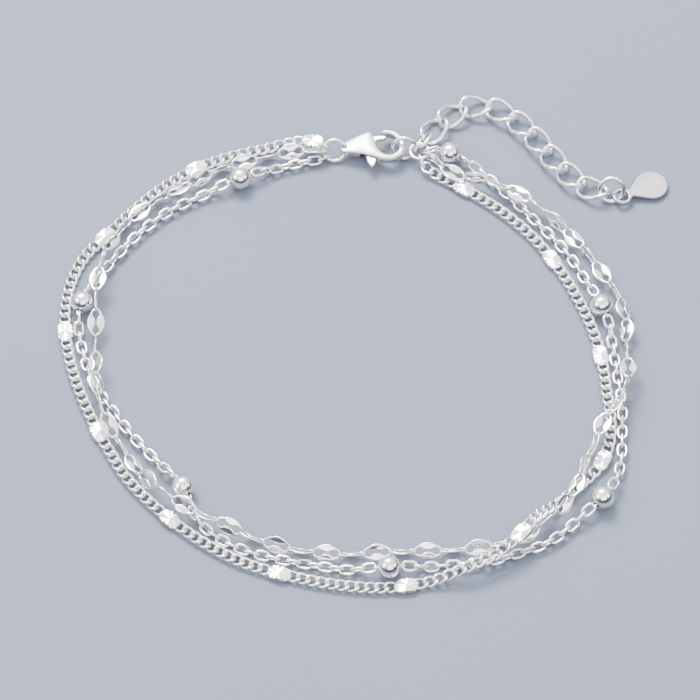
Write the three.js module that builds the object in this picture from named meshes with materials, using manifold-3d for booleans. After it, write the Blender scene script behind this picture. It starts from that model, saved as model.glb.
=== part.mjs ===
// Three-strand chain bracelet: a curb chain with star-cut plaques, a beaded cable chain and a mirror
// chain on one lobster clasp, with an extender chain and a teardrop tag.
// Millimetres, +Z up. It lies closed on the plane z = 0, with the clasp at the back (+Y).
import * as THREE from "three";
import { mergeVertices } from "three/addons/utils/BufferGeometryUtils.js";
import Module from "manifold-3d";

const wasm = await Module();
wasm.setup();

// Driving dimensions in mm and degrees

// The laid-out places are moved by this so that the origin is under the middle of the bracelet.
const TO_CENTRE = new THREE.Vector3(0, 0.5, 0);

// Fine chains, as the tubes that their links fill
const CURB = { width: 1.0, height: 0.7, base: 0.37, steps: 64, sides: 8 };
const PLAQUE = { length: 2.2, width: 1.5, thick: 0.5, sides: 8, first: 13.4, every: 12.5, count: 12 };
const CABLE = { width: 0.9, height: 0.9, base: 0.58, steps: 72, sides: 8 };
const EYE = { radius: 0.52, wire: 0.14, sides: 5, steps: 10 };

// Beads on the cable chain, by their distance along it from the clasp ring
const BEAD = { radius: 1.15, bore: 0.75, sides: 12, bands: 5, rise: 0.57, flat: 1.4, run: 3.0 };
const BEADS_ALONG = [8.9, 31.4, 56.4, 80.4, 103.6, 126.8, 151.2];

// Mirror chain links, whose long sides are flat lips
const MIRROR = { links: 62, thick: 0.26, base: 0.92, sides: 4 };

// Rings, each a torus that leans back from level by an angle about X
const CLASP_RING = { x: -3.17, y: 21.97, z: 1.15, radius: 1.1, wire: 0.2, lean: 50 };
const END_RING = { x: 3.96, y: 22.15, z: 1.28, radius: 1.19, wire: 0.2, lean: 65 };
const STRAND_RING = { x: 5.5, y: 21.9, z: 1.1, radius: 0.95, wire: 0.175, lean: 0 };
const TAG_RING = { x: 25.04, y: 17.0, z: 1.22, radius: 1.24, wire: 0.21, lean: 53 };
const RING = { sides: 6, steps: 12 };

// Where each strand sits round its end rings, in degrees, and how far its first point is from the wire
const SEAT = {
  curb: { left: 150, right: -84, reach: 0.5 },
  cable: { left: 220, right: 5, reach: 0.5 },
  mirror: { left: 182, right: -38, reach: 0.89 },
};

// Lobster clasp, flat, measured from the rivet
const CLASP = { x: 0.55, y: 22.02, z: 1.2, thick: 1.1, bevel: 0.16 };
const TAIL = { x: -2.44, y: -0.05, z: -0.05, radius: 0.95, hole: 0.71, thick: 0.5 };
const RIVET = { radius: 0.3, length: 0.9, clearance: 0.13, sides: 12 };
const LEVER = { thick: 0.44, slot: 0.7, bevel: 0.08 };

// Extender of twisted links, and the small link that joins it to the strand ring
const EXTENDER = {
  links: 9, first: 1.97, pitch: 2.7, z: 0.75, length: 3.92, width: 2.75, wire: 0.4, twist: -45,
};
const CONNECTOR = {
  length: 2.35, width: 1.85, wire: 0.32, twist: 0, x: 5.98, y: 23.25, z: 1.05, roll: 130, turn: 60,
};
const LINK = { sides: 5, steps: 12 };

// Teardrop tag: its eye, its neck, its round end, and how it tips towards the round end
const TAG = {
  eye: 1.02, hole: 0.7, neck: [1.1, 0.5], hollow: [1.02, 0.45], round: 1.72, reach: 3.42,
  thick: 0.35, bevel: 0.05, x: 26.14, y: 16.56, z: 0.66, heading: 27.4, tip: 4.6,
};

// Plans of the strands from the clasp ring round to the strand ring: x, y
const CURB_PLAN = [
  [-6.6, 23.1], [-8.6, 23.15], [-10.6, 22.6], [-14.2, 21.6], [-17.5, 20.1], [-21.0, 17.6], [-23.8, 14.8],
  [-26.3, 11.9], [-28.4, 9.4], [-29.7, 6.3], [-30.2, 3.0], [-30.0, -0.7], [-29.3, -4.2], [-27.5, -9.3],
  [-25.7, -13.1], [-23.4, -17.1], [-20.2, -20.7], [-16.3, -24.0], [-11.9, -26.6], [-6.6, -28.3],
  [-1.9, -29.2], [1.8, -29.4], [6.0, -28.8], [9.6, -27.8], [12.3, -26.6], [14.7, -24.6], [17.1, -21.5],
  [20.5, -18.2], [23.0, -15.4], [24.0, -12.8], [24.2, -10.2], [23.9, -7.0], [23.6, -3.8], [22.8, 0.1],
  [21.4, 4.0], [19.6, 7.7], [17.0, 11.6], [13.7, 15.0], [9.9, 17.8], [7.7, 19.1], [6.75, 19.72],
];
const CABLE_PLAN = [
  [-7.2, 20.6], [-10.0, 19.7], [-12.95, 18.4], [-16.2, 16.9], [-19.9, 14.8], [-23.1, 11.9], [-25.8, 8.4],
  [-27.4, 6.0], [-28.5, 3.3], [-28.75, 0.6], [-28.4, -1.7], [-27.8, -4.0], [-26.7, -6.7], [-24.6, -10.0],
  [-22.6, -12.8], [-20.1, -15.7], [-17.9, -18.5], [-17.0, -20.9], [-15.4, -23.1], [-13.5, -24.5],
  [-11.4, -25.5], [-8.2, -26.4], [-4.0, -27.2], [-1.0, -27.6], [2.1, -27.5], [4.8, -27.3], [8.7, -26.9],
  [12.0, -26.5], [14.9, -25.6], [17.9, -24.3], [21.0, -21.6], [23.1, -19.7], [24.5, -17.4], [25.1, -15.0],
  [25.3, -12.0], [25.4, -9.0], [25.2, -6.5], [24.9, -4.0], [24.6, -1.1], [24.3, 1.0], [23.7, 2.8],
  [22.4, 5.7], [20.5, 9.4], [17.7, 13.0], [14.0, 17.3], [11.7, 19.7], [8.65, 21.6],
];
const MIRROR_PLAN = [
  [-7.6, 21.9], [-10.5, 21.2], [-15.0, 19.7], [-18.9, 17.4], [-22.7, 14.7], [-25.7, 10.6], [-26.9, 5.9],
  [-27.0, 0.7], [-26.9, -4.2], [-26.2, -9.5], [-23.8, -14.1], [-20.8, -18.4], [-16.8, -21.6],
  [-12.0, -23.7], [-7.2, -25.3], [-2.3, -25.9], [2.6, -25.6], [7.6, -25.5], [12.2, -24.9], [16.8, -23.0],
  [19.9, -19.8], [21.7, -15.4], [23.4, -11.4], [25.8, -6.9], [26.0, -1.9], [25.75, 3.0], [23.4, 7.7],
  [20.4, 12.0], [16.8, 15.3], [12.6, 17.8], [8.9, 19.3],
];
const EXTENDER_PLAN = [
  [6.0, 23.2], [7.0, 24.8], [8.6, 26.5], [10.8, 27.7], [13.4, 27.4], [15.6, 25.8], [17.4, 23.7], [19.0, 21.4],
  [20.6, 19.3], [22.7, 17.6], [25.2, 17.0],
];

// Rises above a strand's base height: along the strand, how high, half its flat top, and its ramp
const CURB_RISES = [
  { along: 0, rise: 1.3, flat: 0.2, run: 4.5 },
  { along: 97.4, rise: 1.32, flat: 1.4, run: 6.0 },
  { along: 100.8, rise: 1.72, flat: 1.6, run: 5.0 },
  { along: 157, rise: 0.73, flat: 0.2, run: 3.0 },
];
const CABLE_RISES = [
  ...BEADS_ALONG.map((along) => ({ along, rise: BEAD.rise, flat: BEAD.flat, run: BEAD.run })),
  { along: 156, rise: 0.52, flat: 0.5, run: 3.0 },
];
const MIRROR_RISES = [
  { along: 0, rise: 0.23, flat: 0.5, run: 3.0 },
  { along: 29.5, rise: 1.05, flat: 2.5, run: 5.5 },
  { along: 42.4, rise: 0.8, flat: 2.5, run: 4.5 },
  { along: 59.6, rise: 1.08, flat: 2.5, run: 5.5 },
  { along: 100.2, rise: 0.65, flat: 3.2, run: 4.0 },
  { along: 111.2, rise: 1.0, flat: 3.2, run: 5.0 },
  { along: 141.4, rise: 0.85, flat: 2.5, run: 4.5 },
  { along: 150.0, rise: 0.18, flat: 0.5, run: 3.0 },
];

// The mirror chain's slow turn about its own line, in degrees, on top of a quarter turn a link
const MIRROR_TURNS = [
  { link: 0, turn: 40 }, { link: 2, turn: 60 }, { link: 4, turn: 70 }, { link: 7, turn: 0 },
  { link: 15, turn: 0 }, { link: 18, turn: 90 }, { link: 20, turn: 90 }, { link: 23, turn: 20 },
  { link: 25, turn: 48 }, { link: 37, turn: 48 }, { link: 39, turn: 20 }, { link: 41, turn: 70 },
  { link: 42, turn: 70 }, { link: 44, turn: 0 }, { link: 46, turn: 90 }, { link: 48, turn: 90 },
  { link: 51, turn: 0 }, { link: 54, turn: 0 }, { link: 57, turn: 80 }, { link: 59, turn: 0 },
  { link: 61, turn: 0 },
];

// Quarter of a mirror link from its tip to its middle: centre x and y, half the width of the metal
const MIRROR_QUARTER = [
  { x: 1.343, y: 0.0, half: 0.125 },
  { x: 1.04, y: 0.5, half: 0.15 },
  { x: 0.42, y: 0.49, half: 0.39 },
];

// Materials
const silver = (roughness) => new THREE.MeshStandardMaterial({ color: 0xe4e4e6, roughness, metalness: 1 });
const polished = silver(0.12);
const satin = silver(0.32);

const UP = new THREE.Vector3(0, 0, 1);
const radians = THREE.MathUtils.degToRad;

// Joining and cutting of closed shapes

const solid = (geometry) => {
  const bare = geometry.index ? geometry.toNonIndexed() : geometry.clone();
  bare.deleteAttribute("normal");
  bare.deleteAttribute("uv");
  const merged = mergeVertices(bare, 1e-4);
  const vertProperties = new Float32Array(merged.attributes.position.array);
  const triVerts = new Uint32Array(merged.index.array);
  return new wasm.Manifold(new wasm.Mesh({ numProp: 3, vertProperties, triVerts }));
};

const geometryOf = (body) => {
  const { vertProperties, triVerts } = body.getMesh();
  const geometry = new THREE.BufferGeometry();
  geometry.setAttribute("position", new THREE.BufferAttribute(vertProperties, 3));
  geometry.setIndex(new THREE.BufferAttribute(triVerts, 1));
  return geometry;
};

const fuse = (geometries) => geometryOf(geometries.map(solid).reduce((whole, piece) => whole.add(piece)));

const named = (name, geometry, material) => {
  const mesh = new THREE.Mesh(geometry, material);
  mesh.name = name;
  return mesh;
};

// Curves along the strands

const smoothstep = (t) => t * t * (3 - 2 * t);

const riseAt = (rises, along) => {
  const heights = rises.map((row) => {
    const past = (Math.abs(along - row.along) - row.flat) / row.run;
    return row.rise * smoothstep(1 - THREE.MathUtils.clamp(past, 0, 1));
  });
  return Math.max(0, ...heights);
};

// A strand's line: its plan with its rises, and frames that keep the strand's flat side level.
class StrandLine extends THREE.Curve {
  constructor(start, plan, end, base, rises) {
    super();
    const flat = (p) => new THREE.Vector3(p.x, p.y, 0);
    const middle = plan.map(([x, y]) => new THREE.Vector3(x, y, 0));
    this.plan = new THREE.CatmullRomCurve3([flat(start), ...middle, flat(end)], false, "centripetal");
    this.plan.arcLengthDivisions = 1200;
    this.arcLengthDivisions = 1200;
    this.base = base;
    this.rises = rises;
    this.run = this.plan.getLength();
  }

  getPoint(t, target = new THREE.Vector3()) {
    target.copy(this.plan.getPointAt(t));
    target.z = this.base + riseAt(this.rises, t * this.run);
    return target;
  }

  at(along) {
    return this.getPoint(along / this.run);
  }

  frameAt(t) {
    const tangent = this.getTangent(t);
    const binormal = new THREE.Vector3().crossVectors(tangent, UP).normalize();
    const normal = new THREE.Vector3().crossVectors(binormal, tangent);
    return { tangent, normal, binormal };
  }

  computeFrenetFrames(segments) {
    const frames = { tangents: [], normals: [], binormals: [] };
    for (let i = 0; i <= segments; i += 1) {
      const frame = this.frameAt(this.getUtoTmapping(i / segments));
      frames.tangents.push(frame.tangent);
      frames.normals.push(frame.normal);
      frames.binormals.push(frame.binormal);
    }
    return frames;
  }
}

const ringPoint = (ring, degrees, reach) => {
  const angle = radians(degrees);
  const lean = radians(ring.lean);
  const radius = ring.radius + reach;
  const back = radius * Math.sin(angle);
  const x = ring.x + radius * Math.cos(angle);
  return new THREE.Vector3(x, ring.y + back * Math.cos(lean), ring.z + back * Math.sin(lean));
};

// Shapes

const roundSection = (height, width, sides) => {
  const shape = new THREE.Shape();
  for (let i = 0; i < sides; i += 1) {
    const angle = ((i + 0.5) * 2 * Math.PI) / sides;
    const x = (0.5 * height * Math.cos(angle)) / Math.cos(Math.PI / sides);
    const y = (0.5 * width * Math.sin(angle)) / Math.cos(Math.PI / sides);
    if (i === 0) {
      shape.moveTo(x, y);
    } else {
      shape.lineTo(x, y);
    }
  }
  shape.closePath();
  return shape;
};

const strandTube = (chain, line) => new THREE.ExtrudeGeometry(
  roundSection(chain.height, chain.width, chain.sides),
  { steps: chain.steps, extrudePath: line, curveSegments: 1 },
);

// A closed wire loop through stations, each with its centre, two directions and two half widths.
const wireLoop = (stations, sides, phase) => {
  const positions = [];
  const index = [];
  stations.forEach(({ centre, across, up, halfAcross, halfUp }, station) => {
    const next = (station + 1) % stations.length;
    for (let side = 0; side < sides; side += 1) {
      const angle = ((side + phase) * 2 * Math.PI) / sides;
      const point = centre.clone();
      point.addScaledVector(across, halfAcross * Math.cos(angle));
      point.addScaledVector(up, halfUp * Math.sin(angle));
      positions.push(point.x, point.y, point.z);
      const a = station * sides + side;
      const b = station * sides + ((side + 1) % sides);
      const c = next * sides + side;
      const d = next * sides + ((side + 1) % sides);
      index.push(a, c, b, b, c, d);
    }
  });
  const geometry = new THREE.BufferGeometry();
  geometry.setAttribute("position", new THREE.Float32BufferAttribute(positions, 3));
  geometry.setIndex(index);
  return geometry;
};

// One mirror link, flat in XY with its length along X.
const mirrorLink = () => {
  const [tip, ...rest] = MIRROR_QUARTER;
  const side = [...rest, ...rest.map((row) => ({ ...row, x: -row.x })).reverse()];
  const far = { ...tip, x: -tip.x };
  const near = side.map((row) => ({ ...row, x: -row.x, y: -row.y }));
  const rows = [tip, ...side, far, ...near];
  const stations = rows.map((row) => ({
    centre: new THREE.Vector3(row.x, row.y, 0),
    across: new THREE.Vector3(row.y === 0 ? Math.sign(row.x) : 0, Math.sign(row.y), 0),
    up: UP,
    halfAcross: Math.SQRT2 * row.half,
    halfUp: Math.SQRT1_2 * MIRROR.thick,
  }));
  return wireLoop(stations, MIRROR.sides, 0.5);
};

// One twisted link: an oval of wire whose two ends are rolled opposite ways about its length.
const twistedLink = ({ length, width, wire, twist }) => {
  const halfLength = 0.5 * (length - wire);
  const halfWidth = 0.5 * (width - wire);
  const pointAt = (angle) => {
    const roll = radians(twist) * Math.cos(angle);
    const reach = halfWidth * Math.sin(angle);
    return new THREE.Vector3(halfLength * Math.cos(angle), reach * Math.cos(roll), reach * Math.sin(roll));
  };
  const stations = [];
  for (let i = 0; i < LINK.steps; i += 1) {
    const angle = (i * 2 * Math.PI) / LINK.steps;
    const small = 0.01;
    const along = pointAt(angle + small).sub(pointAt(angle - small)).normalize();
    const roll = radians(twist) * Math.cos(angle);
    const face = new THREE.Vector3(0, -Math.sin(roll), Math.cos(roll));
    const across = new THREE.Vector3().crossVectors(along, face).normalize();
    const up = new THREE.Vector3().crossVectors(across, along).normalize();
    stations.push({ centre: pointAt(angle), across, up, halfAcross: wire / 2, halfUp: wire / 2 });
  }
  return wireLoop(stations, LINK.sides, 0);
};

const turnAt = (link) => {
  const after = MIRROR_TURNS.findIndex((row) => row.link >= link);
  const high = MIRROR_TURNS[after];
  const low = MIRROR_TURNS[Math.max(0, after - 1)];
  const share = high.link === low.link ? 0 : (link - low.link) / (high.link - low.link);
  return THREE.MathUtils.lerp(low.turn, high.turn, share);
};

const frameMatrix = (origin, x, y, z) => new THREE.Matrix4().makeBasis(x, y, z).setPosition(origin);

// Strands

const lineOf = (seat, plan, base, rises) => new StrandLine(
  ringPoint(CLASP_RING, seat.left, seat.reach),
  plan,
  ringPoint(STRAND_RING, seat.right, seat.reach),
  base,
  rises,
);

const curbLine = lineOf(SEAT.curb, CURB_PLAN, CURB.base, CURB_RISES);
const cableLine = lineOf(SEAT.cable, CABLE_PLAN, CABLE.base, CABLE_RISES);
const mirrorLine = lineOf(SEAT.mirror, MIRROR_PLAN, MIRROR.base, MIRROR_RISES);

// An end eye round a ring's wire, which the strand's tube runs into.
const endEye = (ring, degrees) => {
  const eye = new THREE.TorusGeometry(EYE.radius, EYE.wire, EYE.sides, EYE.steps);
  const centre = ringPoint(ring, degrees, 0);
  const outward = ringPoint(ring, degrees, 1).sub(centre);
  const lean = radians(ring.lean);
  const face = new THREE.Vector3(0, -Math.sin(lean), Math.cos(lean));
  const along = new THREE.Vector3().crossVectors(face, outward);
  return eye.applyMatrix4(frameMatrix(centre, outward, face.negate(), along));
};

const plaque = (line, along) => {
  const shape = roundSection(PLAQUE.length, PLAQUE.width, PLAQUE.sides);
  const plate = new THREE.ExtrudeGeometry(shape, { depth: PLAQUE.thick, bevelEnabled: false });
  plate.translate(0, 0, -0.5 * PLAQUE.thick);
  const { tangent, normal, binormal } = line.frameAt(along / line.run);
  return plate.applyMatrix4(frameMatrix(line.at(along), tangent, binormal.negate(), normal));
};

const curbStrand = () => {
  const pieces = [strandTube(CURB, curbLine)];
  for (let i = 0; i < PLAQUE.count; i += 1) {
    pieces.push(plaque(curbLine, PLAQUE.first + i * PLAQUE.every));
  }
  pieces.push(endEye(CLASP_RING, SEAT.curb.left), endEye(STRAND_RING, SEAT.curb.right));
  return fuse(pieces);
};

const cableStrand = () => fuse([
  strandTube(CABLE, cableLine),
  endEye(CLASP_RING, SEAT.cable.left),
  endEye(STRAND_RING, SEAT.cable.right),
]);

const mirrorChain = () => {
  const links = [];
  for (let i = 0; i < MIRROR.links; i += 1) {
    const t = i / (MIRROR.links - 1);
    const { tangent, normal } = mirrorLine.frameAt(t);
    const roll = radians(90 * i + turnAt(i));
    const up = normal.clone().applyAxisAngle(tangent, roll);
    const side = new THREE.Vector3().crossVectors(up, tangent);
    links.push(mirrorLink().applyMatrix4(frameMatrix(mirrorLine.getPoint(t), tangent, side, up)));
  }
  return fuse(links);
};

const bead = (along) => {
  const edge = Math.acos(BEAD.bore / BEAD.radius);
  const profile = [];
  for (let i = 0; i <= BEAD.bands; i += 1) {
    const angle = THREE.MathUtils.lerp(-edge, edge, i / BEAD.bands);
    profile.push(new THREE.Vector2(BEAD.radius * Math.cos(angle), BEAD.radius * Math.sin(angle)));
  }
  profile.push(profile[0].clone());
  const ball = new THREE.LatheGeometry(profile, BEAD.sides);
  const { tangent, normal, binormal } = cableLine.frameAt(along / cableLine.run);
  ball.applyMatrix4(frameMatrix(cableLine.at(along), binormal, tangent, normal));
  return geometryOf(solid(ball));
};

// Clasp, drawn flat round its rivet

const claspOutline = () => {
  const outline = new THREE.Shape();
  outline.moveTo(-1.9, 1.2);
  outline.splineThru([[-1.15, 1.72], [-0.45, 2.02]].map((p) => new THREE.Vector2(...p)));
  outline.quadraticCurveTo(0.0, 2.15, 0.2, 1.75);
  outline.lineTo(0.42, 0.9);
  const claw = [[0.6, 0.2], [1.1, -0.5], [2.0, -0.8], [2.74, -0.36], [2.9, 0.3], [2.66, 1.1], [2.1, 1.62]];
  outline.splineThru(claw.map((p) => new THREE.Vector2(...p)));
  outline.lineTo(1.2, 1.78);
  outline.quadraticCurveTo(1.0, 1.98, 1.25, 2.2);
  const hook = [[1.75, 2.3], [2.5, 2.12], [3.15, 1.5], [3.52, 0.7], [3.5, -0.1], [3.15, -0.8], [2.5, -1.28]];
  outline.splineThru(hook.map((p) => new THREE.Vector2(...p)));
  outline.splineThru([[1.7, -1.42], [0.75, -1.3], [-0.2, -0.95]].map((p) => new THREE.Vector2(...p)));
  outline.lineTo(-1.75, -0.55);
  outline.quadraticCurveTo(-1.55, 0.3, -1.9, 1.2);
  return outline;
};

// The tail's eye, a flat washer that the clasp ring runs through.
const eyeShape = ({ radius, hole }) => {
  const shape = new THREE.Shape();
  shape.absarc(0, 0, radius, 0, 2 * Math.PI, false);
  const bore = new THREE.Path();
  bore.absarc(0, 0, hole, 0, 2 * Math.PI, true);
  shape.holes.push(bore);
  return shape;
};

const leverSlot = () => {
  const outline = new THREE.Shape();
  const corners = [
    [-0.95, 1.75], [0.9, 1.75], [0.9, -0.2], [1.05, -0.6], [1.05, -3.0], [-1.45, -3.0], [-1.45, -1.0],
    [-0.95, -0.3],
  ];
  corners.forEach(([x, y], i) => (i === 0 ? outline.moveTo(x, y) : outline.lineTo(x, y)));
  outline.closePath();
  return outline;
};

const leverOutline = () => {
  const outline = new THREE.Shape();
  outline.moveTo(-0.62, 0.45);
  outline.quadraticCurveTo(-0.8, -0.2, -0.5, -0.8);
  outline.quadraticCurveTo(-0.45, -1.6, 0.0, -2.15);
  outline.quadraticCurveTo(0.15, -2.3, 0.3, -2.1);
  outline.quadraticCurveTo(0.6, -1.5, 0.62, -0.8);
  outline.quadraticCurveTo(0.75, -0.2, 0.5, 0.45);
  outline.quadraticCurveTo(0.4, 0.95, 0.75, 1.12);
  outline.lineTo(1.4, 1.2);
  outline.quadraticCurveTo(1.62, 1.38, 1.42, 1.52);
  outline.lineTo(0.2, 1.56);
  outline.quadraticCurveTo(-0.45, 1.3, -0.62, 0.45);
  const bore = new THREE.Path();
  bore.absarc(0, 0, RIVET.radius + RIVET.clearance, 0, 2 * Math.PI, true);
  outline.holes.push(bore);
  return outline;
};

const claspBody = () => {
  const body = new THREE.ExtrudeGeometry(claspOutline(), {
    depth: CLASP.thick - 2 * CLASP.bevel,
    bevelThickness: CLASP.bevel,
    bevelSize: CLASP.bevel,
    bevelOffset: -CLASP.bevel,
    bevelSegments: 2,
    curveSegments: 2,
  });
  body.translate(0, 0, CLASP.bevel - 0.5 * CLASP.thick);
  const slot = new THREE.ExtrudeGeometry(leverSlot(), { depth: LEVER.slot, bevelEnabled: false });
  slot.translate(0, 0, -0.5 * LEVER.slot);
  const rivet = new THREE.CylinderGeometry(RIVET.radius, RIVET.radius, RIVET.length, RIVET.sides);
  rivet.rotateX(Math.PI / 2);
  const tail = new THREE.ExtrudeGeometry(eyeShape(TAIL), {
    depth: TAIL.thick,
    bevelEnabled: false,
    curveSegments: 7,
  });
  tail.translate(TAIL.x, TAIL.y, TAIL.z - 0.5 * TAIL.thick);
  return geometryOf(solid(body).subtract(solid(slot)).add(solid(rivet)).add(solid(tail)));
};

const claspLever = () => {
  const lever = new THREE.ExtrudeGeometry(leverOutline(), {
    depth: LEVER.thick - 2 * LEVER.bevel,
    bevelThickness: LEVER.bevel,
    bevelSize: LEVER.bevel,
    bevelOffset: -LEVER.bevel,
    bevelSegments: 1,
    curveSegments: 4,
  });
  lever.translate(0, 0, LEVER.bevel - 0.5 * LEVER.thick);
  return geometryOf(solid(lever));
};

// Rings, extender and tag

const ring = (name, { x, y, z, radius, wire, lean }) => {
  const loop = new THREE.TorusGeometry(radius, wire, RING.sides, RING.steps);
  const mesh = named(name, geometryOf(solid(loop)), polished);
  mesh.position.set(x, y, z);
  mesh.rotation.x = radians(lean);
  return mesh;
};

const extender = () => {
  const points = EXTENDER_PLAN.map(([x, y]) => new THREE.Vector3(x, y, EXTENDER.z));
  const line = new THREE.CatmullRomCurve3(points, false, "centripetal");
  const links = new THREE.Group();
  for (let i = 0; i < EXTENDER.links; i += 1) {
    const t = (EXTENDER.first + i * EXTENDER.pitch) / line.getLength();
    const heading = line.getTangentAt(t);
    const link = named(`extender_link_${i + 1}`, twistedLink(EXTENDER), polished);
    link.position.copy(line.getPointAt(t));
    link.rotation.z = Math.atan2(heading.y, heading.x);
    links.add(link);
  }
  return links;
};

const tagShape = () => {
  const [neckX, neckY] = TAG.neck;
  const [hollowX, hollowY] = TAG.hollow;
  const leave = radians(45);
  const across = Math.hypot(TAG.reach - neckX, neckY);
  const slant = Math.asin(TAG.round / across) - Math.atan2(neckY, TAG.reach - neckX) + 0.5 * Math.PI;
  const shape = new THREE.Shape();
  shape.absarc(0, 0, TAG.eye, leave, 2 * Math.PI - leave, false);
  shape.quadraticCurveTo(hollowX, -hollowY, neckX, -neckY);
  shape.absarc(TAG.reach, 0, TAG.round, -slant, slant, false);
  shape.lineTo(neckX, neckY);
  shape.quadraticCurveTo(hollowX, hollowY, TAG.eye * Math.cos(leave), TAG.eye * Math.sin(leave));
  const hole = new THREE.Path();
  hole.absarc(0, 0, TAG.hole, 0, 2 * Math.PI, true);
  shape.holes.push(hole);
  return shape;
};

const tag = () => {
  const plate = new THREE.ExtrudeGeometry(tagShape(), {
    depth: TAG.thick - 2 * TAG.bevel,
    bevelThickness: TAG.bevel,
    bevelSize: TAG.bevel,
    bevelOffset: -TAG.bevel,
    bevelSegments: 1,
    curveSegments: 6,
  });
  plate.translate(0, 0, TAG.bevel - 0.5 * TAG.thick);
  const mesh = named("tag", geometryOf(solid(plate)), satin);
  mesh.position.set(TAG.x, TAG.y, TAG.z);
  mesh.rotation.set(0, radians(TAG.tip), radians(TAG.heading), "ZYX");
  return mesh;
};

// Assembly

const bracelet = new THREE.Group();
bracelet.name = "chain_bracelet";
bracelet.position.copy(TO_CENTRE);

bracelet.add(named("curb_strand", curbStrand(), polished));
bracelet.add(named("cable_strand", cableStrand(), polished));
bracelet.add(named("mirror_chain", mirrorChain(), polished));
BEADS_ALONG.forEach((along, i) => bracelet.add(named(`bead_${i + 1}`, bead(along), polished)));

const clasp = new THREE.Group();
clasp.position.set(CLASP.x, CLASP.y, CLASP.z);
clasp.add(named("clasp_body", claspBody(), satin));
clasp.add(named("clasp_lever", claspLever(), satin));
bracelet.add(clasp);

bracelet.add(ring("clasp_ring", CLASP_RING));
bracelet.add(ring("end_ring", END_RING));
bracelet.add(ring("strand_ring", STRAND_RING));
bracelet.add(ring("tag_ring", TAG_RING));

const connector = named("extender_connector", twistedLink(CONNECTOR), polished);
connector.position.set(CONNECTOR.x, CONNECTOR.y, CONNECTOR.z);
connector.rotation.set(radians(CONNECTOR.roll), 0, radians(CONNECTOR.turn), "ZYX");
bracelet.add(connector);
bracelet.add(extender());
bracelet.add(tag());

export default bracelet;
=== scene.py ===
"""Silver chain bracelet: a curb chain, a beaded cable chain and a mirror chain on one lobster clasp.

Sizes are in millimetres and angles in degrees until a mesh is made. Each chain follows the same route as
its solid, so its links lie where the solid lies.
"""

import logging
import math
from dataclasses import dataclass, field, replace
from enum import Enum
from typing import Sequence

import bpy
import numpy as np
from mathutils import Matrix, Vector


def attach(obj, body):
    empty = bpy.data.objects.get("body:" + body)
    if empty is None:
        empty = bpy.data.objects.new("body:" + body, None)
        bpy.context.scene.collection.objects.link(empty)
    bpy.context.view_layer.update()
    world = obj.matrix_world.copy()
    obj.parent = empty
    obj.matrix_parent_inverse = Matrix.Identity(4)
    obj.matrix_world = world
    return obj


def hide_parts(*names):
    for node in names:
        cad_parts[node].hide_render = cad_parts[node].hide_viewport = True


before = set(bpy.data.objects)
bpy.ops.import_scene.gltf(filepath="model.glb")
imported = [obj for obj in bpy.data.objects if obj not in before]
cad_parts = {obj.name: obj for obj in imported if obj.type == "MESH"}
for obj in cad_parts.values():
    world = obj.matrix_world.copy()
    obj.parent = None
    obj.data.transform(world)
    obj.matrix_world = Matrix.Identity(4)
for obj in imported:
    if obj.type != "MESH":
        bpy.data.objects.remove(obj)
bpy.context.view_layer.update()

LOG = logging.getLogger("bracelet")
Array = np.ndarray
Mesh = bpy.types.Mesh
Tree = bpy.types.NodeTree
Node = bpy.types.Node
Source = Node | bpy.types.NodeSocket
Place = tuple[float, float, float]
Plan = Sequence[tuple[float, float]]

MM = 0.001
TO_CENTRE = np.array((0.0, 0.5, 0.0))
UP = np.array((0.0, 0.0, 1.0))
QUARTER_TURN = 90.0
# The angles over which an edge stays crisp: on a wholly smooth piece, and on a cast or cut one
ALL_SMOOTH, CRISP = 180.0, 40.0


class Body(Enum):
    """The bodies that the pieces ride on."""

    BRACELET = "bracelet"
    LEVER = "lever"


class Slot(Enum):
    """The record's material slots."""

    POLISHED = "polished_silver"
    SATIN = "satin_silver"


# Finishes

# Height of a relief as a share of its pattern's size
RELIEF_SHARE = 0.1


def linear(hex_colour: str) -> tuple[float, float, float, float]:
    """Turn an sRGB hex colour into linear values.

    Args:
        hex_colour: Six hex digits with a leading hash.

    Returns:
        Linear red, green, blue and an alpha of 1.
    """
    shares = [int(hex_colour[i : i + 2], 16) / 255 for i in (1, 3, 5)]
    red, green, blue = (s / 12.92 if s <= 0.04045 else ((s + 0.055) / 1.055) ** 2.4 for s in shares)
    return red, green, blue, 1.0


def add_node(
    tree: Tree,
    kind: str,
    values: dict[str | int, object] | None = None,
    links: dict[str | int, Source] | None = None,
    **settings: object,
) -> Node:
    """Add a shader node with its settings, input values and links.

    Args:
        tree: The node tree that the node goes into.
        kind: The node's type name.
        values: Input values by socket name or number.
        links: What to link in, by socket name or number: an output, or a node for its first output.
        **settings: Properties of the node itself.

    Returns:
        The new node.
    """
    node = tree.nodes.new(kind)
    for key, value in settings.items():
        setattr(node, key, value)
    for key, value in (values or {}).items():
        node.inputs[key].default_value = value
    for key, source in (links or {}).items():
        socket = source.outputs[0] if isinstance(source, Node) else source
        tree.links.new(socket, node.inputs[key])
    return node


def add_ramp(tree: Tree, source: Source, stops: Sequence[tuple[float, str]]) -> Node:
    """Add a colour ramp.

    Args:
        tree: The node tree that it goes into.
        source: What it turns into colours.
        stops: Positions from 0 to 1, each with its hex colour.

    Returns:
        The new node.
    """
    node = add_node(tree, "ShaderNodeValToRGB", None, {"Fac": source})
    made = node.color_ramp.elements
    for _ in stops[len(made) :]:
        made.new(0.5)
    for stop, (position, shade) in zip(made, stops):
        stop.position = position
        stop.color = linear(shade)
    return node


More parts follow.
